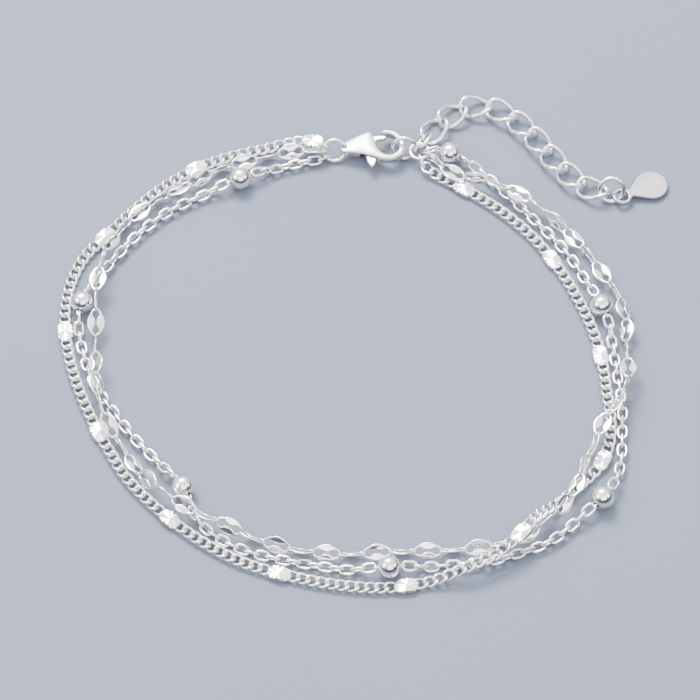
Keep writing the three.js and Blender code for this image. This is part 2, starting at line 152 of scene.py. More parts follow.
@dataclass(frozen=True)
class SilverFinish:
    """Sterling silver with one surface treatment.

    The grain runs along X where stretch is over 1, as brushing does, and is even all round at 1.
    """

    name: str
    slot: Slot
    bright: str
    dull: str
    roughness: tuple[float, float]
    ripple_mm: float
    ripple: float
    grain_mm: float
    grain: float
    stretch: float = 1.0

    def material(self) -> bpy.types.Material:
        """Build the finish's node material.

        Returns:
            The material, ready to be given to a piece.
        """
        made = bpy.data.materials.new(self.name)
        made.use_nodes = True
        tree = made.node_tree
        tree.nodes.clear()
        place = add_node(tree, "ShaderNodeTexCoord").outputs["Object"]
        scale = {"Scale": (1.0, self.stretch, self.stretch)}
        along = add_node(tree, "ShaderNodeMapping", scale, {"Vector": place})
        size = {"Scale": 1 / (self.ripple_mm * MM), "Detail": 2.0, "Roughness": 0.45}
        ripples = add_node(tree, "ShaderNodeTexNoise", size, {"Vector": place})
        size = {"Scale": 1 / (self.grain_mm * MM * self.stretch), "Detail": 4.0, "Roughness": 0.6}
        grains = add_node(tree, "ShaderNodeTexNoise", size, {"Vector": along})
        low, high = self.roughness
        span = {"From Min": 0.3, "From Max": 0.7, "To Min": low, "To Max": high}
        rough = add_node(tree, "ShaderNodeMapRange", span, {"Value": grains})
        tint = add_ramp(tree, ripples, ((0.35, self.dull), (0.6, self.bright)))
        depth = {"Strength": self.ripple, "Distance": RELIEF_SHARE * self.ripple_mm * MM}
        waves = add_node(tree, "ShaderNodeBump", depth, {"Height": ripples})
        depth = {"Strength": self.grain, "Distance": RELIEF_SHARE * self.grain_mm * MM}
        fine = add_node(tree, "ShaderNodeBump", depth, {"Height": grains, "Normal": waves})
        surface = {"Base Color": tint, "Roughness": rough, "Normal": fine}
        shader = add_node(tree, "ShaderNodeBsdfPrincipled", {"Metallic": 1.0}, surface)
        add_node(tree, "ShaderNodeOutputMaterial", None, {"Surface": shader})
        return made


# Every grain is drawn a few times coarser than the real marks, which are too fine to show.

# Tumbled and polished sterling silver: near mirror bright, with the soft waviness that tumbling leaves.
POLISHED = SilverFinish(
    "polished_sterling_silver", Slot.POLISHED, "#faf8f5", "#f0eeea", roughness=(0.1, 0.2),
    ripple_mm=0.9, ripple=0.1, grain_mm=0.12, grain=0.05,
)
# Hammered sterling silver: bright flat lips whose faces are slightly uneven from the hammer.
HAMMERED = SilverFinish(
    "hammered_sterling_silver", Slot.POLISHED, "#fbf9f6", "#f1efeb", roughness=(0.12, 0.26),
    ripple_mm=0.5, ripple=0.3, grain_mm=0.1, grain=0.05,
)
# Star-cut sterling silver: facets fresh from the cutter, the brightest of all.
CUT = SilverFinish(
    "star_cut_sterling_silver", Slot.POLISHED, "#fcfaf7", "#f3f1ed", roughness=(0.12, 0.22),
    ripple_mm=1.2, ripple=0.1, grain_mm=0.1, grain=0.04,
)
# Drawn silver wire, tumbled: bright but softer than a polished face.
WIRE = SilverFinish(
    "drawn_silver_wire", Slot.POLISHED, "#faf8f5", "#efedea", roughness=(0.13, 0.27),
    ripple_mm=0.6, ripple=0.2, grain_mm=0.1, grain=0.08,
)
# Satin cast silver: an even white sheen from fine blasting, with no sharp reflections. Its colour is
# painted shade, dimmed below the other silver's so that its faces render less bright.
SATIN_CAST_PAINTED_SHADE = SilverFinish(
    "satin_cast_silver_painted_shade", Slot.SATIN, "#dddbd8", "#d1cfcc", roughness=(0.26, 0.42),
    ripple_mm=1.4, ripple=0.25, grain_mm=0.09, grain=0.3,
)
# Brushed sheet silver: fine straight lines along the sheet spread the light across them. Its colour is
# painted shade, far darker than the other silver's, standing in for the dark surroundings that the tag
# reflects.
BRUSHED_PAINTED_SHADE = SilverFinish(
    "brushed_sheet_silver_painted_shade", Slot.SATIN, "#b0a9b0", "#a49da4", roughness=(0.22, 0.4),
    ripple_mm=2.0, ripple=0.1, grain_mm=0.05, grain=0.35, stretch=10.0,
)


# Shapes


def unit(vectors: Array) -> Array:
    """Return vectors at length 1."""
    return vectors / np.linalg.norm(vectors, axis=-1, keepdims=True)


def turns(count: int) -> Array:
    """Return angles at even steps round a circle, in radians."""
    return np.arange(count) * 2 * math.pi / count


def signed_power(values: Array, power: float) -> Array:
    """Return values raised to a power with their signs kept."""
    return np.sign(values) * np.abs(values) ** power


def eased(share: Array) -> Array:
    """Return shares from 0 to 1 that start and stop gently."""
    return share * share * (3 - 2 * share)


def skin(rings: int, sides: int) -> list[tuple[int, ...]]:
    """List the faces between rings of points, the last ring joined to the first.

    Args:
        rings: How many rings there are.
        sides: How many points each ring has.

    Returns:
        The faces, as point numbers.
    """
    faces = []
    for ring in range(rings):
        here, there = ring * sides, (ring + 1) % rings * sides
        for side in range(sides):
            after = (side + 1) % sides
            faces.append((here + side, there + side, there + after, here + after))
    return faces


@dataclass
class Shape:
    """Points and faces of a closed form."""

    points: Array
    faces: list[tuple[int, ...]]

    def placed(self, origin: Array, x_axis: Array, y_axis: Array, z_axis: Array) -> "Shape":
        """Return a copy with the shape's own origin and axes laid on these."""
        turn = np.stack((x_axis, y_axis, z_axis))
        return Shape(self.points @ turn + origin, self.faces)

    def mesh(self) -> Mesh:
        """Return a mesh of the shape, still in millimetres."""
        mesh = bpy.data.meshes.new("shape")
        mesh.from_pydata(self.points.tolist(), [], self.faces)
        return mesh


def rolled_frame(origin: Array, forward: Array, upward: Array, degrees: float) -> tuple[Array, ...]:
    """Find the frame of a link that is rolled about its length.

    Args:
        origin: The link's middle.
        forward: Where its length points.
        upward: Where its face points before it is rolled.
        degrees: Its roll.

    Returns:
        Its origin and its X, Y and Z axes.
    """
    roll = math.radians(degrees)
    face = upward * math.cos(roll) + np.cross(forward, upward) * math.sin(roll)
    return origin, forward, np.cross(face, forward), face


def joined(shapes: Sequence[Shape]) -> Shape:
    """Gather shapes into one.

    Args:
        shapes: The shapes to gather.

    Returns:
        One shape with all their points and faces.
    """
    faces: list[tuple[int, ...]] = []
    count = 0
    for shape in shapes:
        faces.extend(tuple(i + count for i in face) for face in shape.faces)
        count += len(shape.points)
    return Shape(np.concatenate([shape.points for shape in shapes]), faces)


@dataclass
class Stations:
    """Sections along a closed wire: centres, outward and upward directions, and half widths."""

    centre: Array
    outward: Array
    upward: Array
    half_out: Array
    half_up: Array

    def loop(self, sides: int, square: float = 1.0) -> Shape:
        """Skin the sections into a closed wire loop.

        Args:
            sides: Corners of each section.
            square: 1 for an oval section, and less for one with flatter sides.

        Returns:
            The loop.
        """
        angle = turns(sides) + math.pi / sides
        out, up = signed_power(np.cos(angle), square), signed_power(np.sin(angle), square)
        reach = self.half_out[:, None, None] * out[None, :, None] * self.outward[:, None, :]
        lift = self.half_up[:, None, None] * up[None, :, None] * self.upward[:, None, :]
        points = (self.centre[:, None, :] + reach + lift).reshape(-1, 3)
        return Shape(points, skin(len(self.centre), sides))


def smooth_through(knots: Array, steps: int, closed: bool) -> Array:
    """Sample a centripetal spline through points.

    Args:
        knots: The points, one a row.
        steps: Samples from each point to the next.
        closed: Whether the last point joins the first.

    Returns:
        The samples, with the last point added on an open spline.
    """
    if closed:
        padded = np.concatenate((knots[-1:], knots, knots[:2]))
    else:
        padded = np.concatenate((2 * knots[:1] - knots[1:2], knots, 2 * knots[-1:] - knots[-2:-1]))
    rows = []
    share = np.linspace(0, 1, steps, endpoint=False)[:, None]
    for before, start, end, after in zip(padded, padded[1:], padded[2:], padded[3:]):
        pairs = ((before, start), (start, end), (end, after))
        first, second, third = (math.sqrt(np.linalg.norm(b - a)) for a, b in pairs)
        leave = (start - before) / first - (end - before) / (first + second) + (end - start) / second
        arrive = (end - start) / second - (after - start) / (second + third) + (after - end) / third
        leave, arrive = leave * second, arrive * second
        square = 3 * (end - start) - 2 * leave - arrive
        cube = 2 * (start - end) + leave + arrive
        rows.append(start + leave * share + square * share**2 + cube * share**3)
    if not closed:
        rows.append(knots[-1:])
    return np.concatenate(rows)


# Half the angle, in radians, over which a wire's direction is read
WIRE_NUDGE = 0.02
# Long links: how squarely they turn at their ends, and their sections
LONG_CORNER, LONG_STEPS = 0.72, 28


@dataclass(frozen=True)
class WireLink:
    """An oval link of wire whose ends may be rolled opposite ways about its length."""

    length: float
    width: float
    wire: float
    twist: float = 0.0
    flat: float = 1.0
    corner: float = 0.85
    steps: int = 24
    sides: int = 8
    square: float = 1.0

    def wire_at(self, turn: Array) -> Array:
        """Find the middle of the wire round the link.

        Args:
            turn: Angles round the link, in radians.

        Returns:
            One point for each angle.
        """
        half_length, half_width = 0.5 * (self.length - self.wire), 0.5 * (self.width - self.wire)
        roll = math.radians(self.twist) * np.cos(turn)
        ahead = half_length * signed_power(np.cos(turn), self.corner)
        reach = half_width * signed_power(np.sin(turn), self.corner)
        return np.stack((ahead, reach * np.cos(roll), reach * np.sin(roll)), axis=1)

    def shape(self) -> Shape:
        """Build the link flat in XY with its length along X.

        Returns:
            The link, pressed flat between two levels where flat is small.
        """
        angle = turns(self.steps)
        along = unit(self.wire_at(angle + WIRE_NUDGE) - self.wire_at(angle - WIRE_NUDGE))
        roll = math.radians(self.twist) * np.cos(angle)
        face = np.stack((np.zeros_like(roll), -np.sin(roll), np.cos(roll)), axis=1)
        outward = unit(np.cross(along, face))
        upward = np.cross(outward, along)
        half = np.full(self.steps, 0.5 * self.wire)
        link = Stations(self.wire_at(angle), outward, upward, half, half).loop(self.sides, self.square)
        link.points[:, 2] = np.clip(link.points[:, 2], -self.flat, self.flat)
        return link


# How a ring's wire narrows at its seam, by the angle from the seam in radians
SEAM_ANGLES = np.array((-0.05, -0.025, 0.0, 0.025, 0.05))
SEAM_WIDTHS = np.array((1.0, 0.97, 0.8, 0.97, 1.0))
SEAM_REACH = 0.1
RING_STEPS, RING_SIDES = 72, 16


@dataclass(frozen=True)
class Ring:
    """A round wire ring that leans back from level about X, with the seam where it was closed."""

    node: str
    place: Place
    radius: float
    wire: float
    lean: float
    seam: float = QUARTER_TURN

    def axes(self) -> tuple[Array, Array, Array]:
        """Return the ring's two directions in its plane and its face direction."""
        lean = math.radians(self.lean)
        back = np.array((0.0, math.cos(lean), math.sin(lean)))
        return np.array((1.0, 0.0, 0.0)), back, np.array((0.0, -math.sin(lean), math.cos(lean)))

    def point(self, degrees: float, reach: float) -> Array:
        """Find a point in the ring's plane.

        Args:
            degrees: Its angle round the ring.
            reach: Its distance outside the wire's centre.

        Returns:
            The point.
        """
        right, back, _ = self.axes()
        angle = math.radians(degrees)
        spoke = right * math.cos(angle) + back * math.sin(angle)
        return np.array(self.place) + (self.radius + reach) * spoke

    def shape(self) -> Shape:
        """Build the ring with its seam.

        Returns:
            The ring, in place.
        """
        rest = np.linspace(SEAM_REACH, 2 * math.pi - SEAM_REACH, RING_STEPS)
        angle = math.radians(self.seam) + np.concatenate((SEAM_ANGLES, rest))
        half = self.wire * np.concatenate((SEAM_WIDTHS, np.ones(RING_STEPS)))
        spoke = np.stack((np.cos(angle), np.sin(angle), np.zeros_like(angle)), axis=1)
        upward = np.tile(UP, (len(angle), 1))
        loop = Stations(self.radius * spoke, spoke, upward, half, half).loop(RING_SIDES)
        return loop.placed(np.array(self.place), *self.axes())


@dataclass(frozen=True)
class EndEye:
    """The small long link that hangs a strand's end on a ring, with room round what it holds."""

    wire: float
    width: float
    room: float = 0.03

    def hung(self, ring: Ring, degrees: float, tip: Array, held: float) -> Shape:
        """Hang the eye on a ring.

        Args:
            ring: The ring that it runs round.
            degrees: Where it sits round the ring.
            tip: The middle of the wire at the strand's end, which it holds.
            held: That wire's width.

        Returns:
            The eye, in place.
        """
        hold = ring.point(degrees, 0.0)
        forward = unit(tip - hold)
        near = hold - (ring.wire + self.room) * forward
        far = tip + (0.5 * held + self.room) * forward
        round_ring = np.cross(ring.axes()[2], ring.point(degrees, 1.0) - hold)
        face = unit(round_ring - (round_ring @ forward) * forward)
        length = float(np.linalg.norm(far - near)) + 2 * self.wire
        eye = WireLink(length, self.width, self.wire, corner=LONG_CORNER, steps=LONG_STEPS).shape()
        return eye.placed(*rolled_frame(0.5 * (near + far), forward, face, 0.0))


# Outlines and cuts

# Steps across a plate's rounded edge, and the angles round a drilled hole
EDGE_STEPS = 5
HOLE = turns(48)


def shown(name: str, data: bpy.types.ID) -> bpy.types.Object:
    """Return a new object of a mesh, curve, light or camera, linked into the scene."""
    made = bpy.data.objects.new(name, data)
    bpy.context.scene.collection.objects.link(made)
    return made


def modified(data: bpy.types.ID, *modifiers: tuple[str, dict[str, object]]) -> Mesh:
    """Make a mesh of a curve or of another mesh with modifiers.

    Args:
        data: The curve or mesh.
        *modifiers: The modifiers in order, each as its type and its settings.

    Returns:
        The new mesh.
    """
    holder = shown("blank", data)
    for kind, settings in modifiers:
        made = holder.modifiers.new(kind, kind)
        for key, value in settings.items():
            setattr(made, key, value)
    graph = bpy.context.evaluated_depsgraph_get()
    result = bpy.data.meshes.new_from_object(holder.evaluated_get(graph), depsgraph=graph)
    bpy.data.objects.remove(holder)
    return result


def plate(outline: Array, holes: Sequence[Array], thick: float, bevel: float) -> Mesh:
    """Make a plate with rounded edges from a flat outline.

    Args:
        outline: Points round the plate.
        holes: Points round each hole.
        thick: The plate's thickness.
        bevel: The rounding of its edges.

    Returns:
        The plate's mesh, in millimetres, about z = 0.
    """
    curve = bpy.data.curves.new("outline", "CURVE")
    curve.dimensions = "2D"
    curve.fill_mode = "BOTH"
    curve.extrude = 0.5 * thick - bevel
    curve.bevel_depth = bevel
    curve.bevel_resolution = EDGE_STEPS
    curve.offset = -bevel
    for points in (outline, *holes):
        spline = curve.splines.new("POLY")
        spline.points.add(len(points) - 1)
        for corner, (x, y) in zip(spline.points, points):
            corner.co = (x, y, 0.0, 1.0)
        spline.use_cyclic_u = True
    mesh = modified(curve)
    bpy.data.curves.remove(curve)
    return mesh


def with_cuts(mesh: Mesh, tools: Sequence[Mesh]) -> Mesh:
    """Cut closed forms out of a mesh.

    Args:
        mesh: The mesh to cut.
        tools: The forms to take away.

    Returns:
        The cut mesh.
    """
    cutters = [shown("cutter", tool) for tool in tools]
    cut = {"operation": "DIFFERENCE", "solver": "EXACT"}
    result = modified(mesh, *(("BOOLEAN", {**cut, "object": cutter}) for cutter in cutters))
    for cutter in cutters:
        bpy.data.objects.remove(cutter)
    return result


def edge_distance(points: Array, outline: Array) -> Array:
    """Measure how far points lie from an outline.

    Args:
        points: The points, as rows of x and y.
        outline: The closed outline's points.

    Returns:
        Each point's distance to the nearest side.
    """
    nearest = np.full(len(points), np.inf)
    for start, end in zip(outline, np.roll(outline, -1, axis=0)):
        side = end - start
        share = np.clip((points - start) @ side / max(side @ side, 1e-12), 0, 1)
        nearest = np.minimum(nearest, np.linalg.norm(points - start - share[:, None] * side, axis=1))
    return nearest


def arc(radius: float, angles: Array) -> Array:
    """Return points at angles round a circle about the origin."""
    return radius * np.stack((np.cos(angles), np.sin(angles)), axis=1)


@dataclass
class Dresser:
    """Turns shapes into pieces of the bracelet, each with its finish and its body."""

    materials: dict[str, bpy.types.Material] = field(default_factory=dict)

    def piece(
        self,
        name: str,
        mesh: Mesh,
        finish: SilverFinish,
        nodes: Sequence[str],
        body: Body = Body.BRACELET,
        sharp: float = ALL_SMOOTH,
    ) -> None:
        """Make one piece from a mesh in millimetres.

        Args:
            name: The piece's name.
            mesh: Its mesh, as it lies in the laid-out plan.
            finish: Its finish.
            nodes: The solids that it stands for.
            body: The body that it rides on.
            sharp: The angle over which an edge stays crisp.
        """
        mesh.name = name
        mesh.transform(Matrix.Scale(MM, 4) @ Matrix.Translation(Vector(TO_CENTRE)))
        mesh.polygons.foreach_set("use_smooth", [True] * len(mesh.polygons))
        if sharp < ALL_SMOOTH:
            mesh.set_sharp_from_angle(angle=math.radians(sharp))
        if finish.name not in self.materials:
            self.materials[finish.name] = finish.material()
        mesh.materials.clear()
        mesh.materials.append(self.materials[finish.name])
        made = shown(name, mesh)
        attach(made, body.value)
        if nodes:
            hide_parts(*nodes)
        LOG.info("%s: %d faces", name, len(mesh.polygons))


# Routes of the strands


@dataclass(frozen=True)
class Rise:
    """A rise of a strand: where along it, how high, half its flat top, and its ramp."""

    along: float
    height: float
    flat: float
    ramp: float

    def at(self, along: float) -> float:
        """Return the rise's height at a distance along the strand."""
        return self.height * eased(1 - np.clip((abs(along - self.along) - self.flat) / self.ramp, 0, 1))


class StrandLine:
    """The middle line of a strand, with frames that keep its flat side level."""

    def __init__(
        self, knots: Plan, base: float, rises: Sequence[Rise] = (), steps: int = 40, nudge: float = 0.15
    ) -> None:
        """Lay the line through its plan.

        Args:
            knots: The plan's points, from end to end.
            base: The line's height where nothing lifts it.
            rises: The rises above that height.
            steps: Samples from each point to the next.
            nudge: Half the length over which the line's direction is read.
        """
        self.places = smooth_through(np.array(knots, dtype=float), steps, closed=False)
        lengths = np.linalg.norm(np.diff(self.places, axis=0), axis=1)
        self.along = np.concatenate(([0.0], np.cumsum(lengths)))
        self.run = float(self.along[-1])
        self.base, self.rises, self.nudge = base, rises, nudge

    def point(self, along: float) -> Array:
        """Return the point at a distance along the line."""
        x, y = (np.interp(along, self.along, self.places[:, axis]) for axis in (0, 1))
        z = self.base + max([0.0, *(rise.at(along) for rise in self.rises)])
        return np.array((x, y, z))

    def axes(self, along: float) -> tuple[Array, Array, Array]:
        """Find the line's directions.

        Args:
            along: The distance along the line.

        Returns:
            The forward, upward and sideways directions there.
        """
        ahead, behind = min(along + self.nudge, self.run), max(along - self.nudge, 0.0)
        forward = unit(self.point(ahead) - self.point(behind))
        sideways = unit(np.cross(forward, UP))
        return forward, np.cross(sideways, forward), sideways

    def tip(self, along: float, link: WireLink, way: int) -> Array:
        """Return the middle of the wire at a link's far end, or at its near end where way is -1."""
        return self.point(along) + way * 0.5 * (link.length - link.wire) * self.axes(along)[0]

    def rolled(self, along: float, degrees: float = 0.0) -> tuple[Array, ...]:
        """Return the frame of a link that lies on the line and is rolled about it."""
        forward, upward, _ = self.axes(along)
        return rolled_frame(self.point(along), forward, upward, degrees)


CLASP_RING = Ring("clasp_ring", (-3.17, 21.97, 1.15), 1.1, 0.22, 50, seam=115)
END_RING = Ring("end_ring", (3.96, 22.15, 1.28), 1.19, 0.205, 65, seam=60)
STRAND_RING = Ring("strand_ring", (5.5, 21.9, 1.1), 0.95, 0.19, 0, seam=120)
TAG_RING = Ring("tag_ring", (25.04, 17.0, 1.22), 1.24, 0.23, 53, seam=75)

CURB_PLAN = [
    (-6.6, 23.1), (-8.6, 23.15), (-10.6, 22.6), (-14.2, 21.6), (-17.5, 20.1), (-21.0, 17.6), (-23.8, 14.8),
    (-26.3, 11.9), (-28.4, 9.4), (-29.7, 6.3), (-30.2, 3.0), (-30.0, -0.7), (-29.3, -4.2), (-27.5, -9.3),
    (-25.7, -13.1), (-23.4, -17.1), (-20.2, -20.7), (-16.3, -24.0), (-11.9, -26.6), (-6.6, -28.3),
    (-1.9, -29.2), (1.8, -29.4), (6.0, -28.8), (9.6, -27.8), (12.3, -26.6), (14.7, -24.6), (17.1, -21.5),
    (20.5, -18.2), (23.0, -15.4), (24.0, -12.8), (24.2, -10.2), (23.9, -7.0), (23.6, -3.8), (22.8, 0.1),
    (21.4, 4.0), (19.6, 7.7), (17.0, 11.6), (13.7, 15.0), (9.9, 17.8), (7.7, 19.1), (6.75, 19.72),
]
CABLE_PLAN = [
    (-7.2, 20.6), (-10.0, 19.7), (-12.95, 18.4), (-16.2, 16.9), (-19.9, 14.8), (-23.1, 11.9), (-25.8, 8.4),
    (-27.4, 6.0), (-28.5, 3.3), (-28.75, 0.6), (-28.4, -1.7), (-27.8, -4.0), (-26.7, -6.7), (-24.6, -10.0),
    (-22.6, -12.8), (-20.1, -15.7), (-17.9, -18.5), (-17.0, -20.9), (-15.4, -23.1), (-13.5, -24.5),
    (-11.4, -25.5), (-8.2, -26.4), (-4.0, -27.2), (-1.0, -27.6), (2.1, -27.5), (4.8, -27.3), (8.7, -26.9),
    (12.0, -26.5), (14.9, -25.6), (17.9, -24.3), (21.0, -21.6), (23.1, -19.7), (24.5, -17.4), (25.1, -15.0),
    (25.3, -12.0), (25.4, -9.0), (25.2, -6.5), (24.9, -4.0), (24.6, -1.1), (24.3, 1.0), (23.7, 2.8),
    (22.4, 5.7), (20.5, 9.4), (17.7, 13.0), (14.0, 17.3), (11.7, 19.7), (8.65, 21.6),
]
MIRROR_PLAN = [
    (-7.6, 21.9), (-10.5, 21.2), (-15.0, 19.7), (-18.9, 17.4), (-22.7, 14.7), (-25.7, 10.6), (-26.9, 5.9),
    (-27.0, 0.7), (-26.9, -4.2), (-26.2, -9.5), (-23.8, -14.1), (-20.8, -18.4), (-16.8, -21.6),
    (-12.0, -23.7), (-7.2, -25.3), (-2.3, -25.9), (2.6, -25.6), (7.6, -25.5), (12.2, -24.9), (16.8, -23.0),
    (19.9, -19.8), (21.7, -15.4), (23.4, -11.4), (25.8, -6.9), (26.0, -1.9), (25.75, 3.0), (23.4, 7.7),
    (20.4, 12.0), (16.8, 15.3), (12.6, 17.8), (8.9, 19.3),
]
EXTENDER_PLAN = [
    (6.0, 23.2), (7.0, 24.8), (8.6, 26.5), (10.8, 27.7), (13.4, 27.4), (15.6, 25.8), (17.4, 23.7),
    (19.0, 21.4), (20.6, 19.3), (22.7, 17.6), (25.2, 17.0),
]
BEADS_ALONG = (8.9, 31.4, 56.4, 80.4, 103.6, 126.8, 151.2)
CURB_RISES = (
    Rise(0, 1.3, 0.2, 4.5), Rise(97.4, 1.32, 1.4, 6.0),
    Rise(100.8, 1.72, 1.6, 5.0), Rise(157, 0.73, 0.2, 3.0),
)
CABLE_RISES = (*(Rise(along, 0.57, 1.4, 3.0) for along in BEADS_ALONG), Rise(156, 0.52, 0.5, 3.0))
MIRROR_RISES = (
    Rise(0, 0.23, 0.5, 3.0), Rise(29.5, 1.05, 2.5, 5.5), Rise(42.4, 0.8, 2.5, 4.5),
    Rise(59.6, 1.08, 2.5, 5.5), Rise(100.2, 0.65, 3.2, 4.0), Rise(111.2, 1.0, 3.2, 5.0),
    Rise(141.4, 0.85, 2.5, 4.5), Rise(150.0, 0.18, 0.5, 3.0),
)


@dataclass(frozen=True)
class Seat:
    """Where a strand sits round its two end rings, and how far its first point is from the wire."""

    left: float
    right: float
    reach: float

    def line(self, plan: Plan, base: float, rises: Sequence[Rise]) -> StrandLine:
        """Return the strand's line between its seats."""
        left, right = CLASP_RING.point(self.left, self.reach), STRAND_RING.point(self.right, self.reach)
        return StrandLine([left[:2], *plan, right[:2]], base, rises)

    def eyes(self, eye: EndEye, tips: Sequence[Array], held: float) -> list[Shape]:
        """Return the eyes that hang the strand's two tips, whose wire is this wide, on its rings."""
        holds = ((CLASP_RING, self.left), (STRAND_RING, self.right))
        return [eye.hung(ring, at, tip, held) for (ring, at), tip in zip(holds, tips)]


# Chains


@dataclass
class SubAssembly:
    """A part of the bracelet, with what makes its pieces."""

    dresser: Dresser


@dataclass
class CurbChain(SubAssembly):
    """Fine twisted curb chain, in which a pair of links at even steps is pressed flat and star cut.

    Each of plaque_rings is a ring of the plaque's points: its share of the outline, how far it lies below
    the face, and its share of the cut.
    """

    seat: Seat = Seat(150, -84, 0.5)
    link: WireLink = WireLink(1.64, 1.3, 0.32, twist=-44, flat=0.36, steps=22)
    eye: EndEye = EndEye(0.28, 0.95)
    base: float = 0.42
    lean: float = 8.0
    end_room: float = 0.3
    links_a_repeat: int = 13
    plaque_first: float = 13.4
    plaque_every: float = 12.5
    plaque_length: float = 2.4
    plaque_width: float = 1.66
    plaque_thick: float = 0.5
    plaque_corner: float = 0.8
    plaque_peak: float = 0.02
    plaque_rings: tuple[Place, ...] = ((0.3, 0.0, 0.4), (0.88, 0.04, 1.0), (1.0, 0.14, 0.5))
    waist_depth: float = 0.06
    waist_reach: float = 0.3
    rays: int = 36
    ray_edge: float = 0.02
    cut_depth: float = 0.012
    cut_sharp: float = 8.0

    def plaque(self) -> Shape:
        """Build one star-cut plaque, flat in XY with its length along X.

        Returns:
            The plaque, with rays cut from its middle into both faces and a waist between its two links.
        """
        angle = turns(self.rays)
        ridge = np.where(np.arange(self.rays) % 2 == 0, 1.0, -1.0)
        waist = 1 - self.waist_depth * np.exp(-((np.cos(angle) / self.waist_reach) ** 2))
        waist += self.ray_edge * ridge
        x = 0.5 * self.plaque_length * signed_power(np.cos(angle), self.plaque_corner)
        y = 0.5 * self.plaque_width * signed_power(np.sin(angle), self.plaque_corner) * waist
        half = 0.5 * self.plaque_thick
        upper = [(share, half - drop, cut) for share, drop, cut in self.plaque_rings]
        levels = upper + [(share, -z, -cut) for share, z, cut in reversed(upper)]
        peak = np.array([[0.0, 0.0, half + self.plaque_peak]])
        points = [peak]
        for share, z, cut in levels:
            points.append(np.stack((share * x, share * y, z + cut * self.cut_depth * ridge), axis=1))
        points.append(-peak)
        last = 1 + len(levels) * self.rays
        faces = [tuple(1 + i for i in face) for face in skin(len(levels), self.rays)[: -self.rays]]
        for ray in range(self.rays):
            after = (ray + 1) % self.rays
            faces.append((0, 1 + ray, 1 + after))
            faces.append((last, last - self.rays + after, last - self.rays + ray))
        return Shape(np.concatenate(points), faces)

    def build(self) -> None:
        """Lay the links and the plaques along the strand."""
        line = self.seat.line(CURB_PLAN, self.base, CURB_RISES)
        pitch = self.plaque_every / self.links_a_repeat
        open_link, plaque = self.link.shape(), self.plaque()
        links, plaques = [], []
        first = -round(self.plaque_first / pitch) + 1
        for number in range(first, first + round(line.run / pitch)):
            along = self.plaque_first + (number + 0.5) * pitch
            place = number % self.links_a_repeat
            if not self.end_room < along < line.run - self.end_room:
                continue
            if place == 0:
                plaques.append(plaque.placed(*line.rolled(along - 0.5 * pitch)))
            elif place < self.links_a_repeat - 1:
                heading = float(line.axes(along)[0][0])
                links.append(open_link.placed(*line.rolled(along, self.lean * heading)))
                last = along
        begin = 0.5 * (line.point(0.0) + CLASP_RING.point(self.seat.left, 0.0))
        tips = begin, line.tip(last, self.link, 1)
        links += self.seat.eyes(self.eye, tips, self.link.wire)
        self.dresser.piece("curb_links", joined(links).mesh(), WIRE, ["curb_strand"])
        self.dresser.piece("star_cut_plaques", joined(plaques).mesh(), CUT, [], sharp=self.cut_sharp)


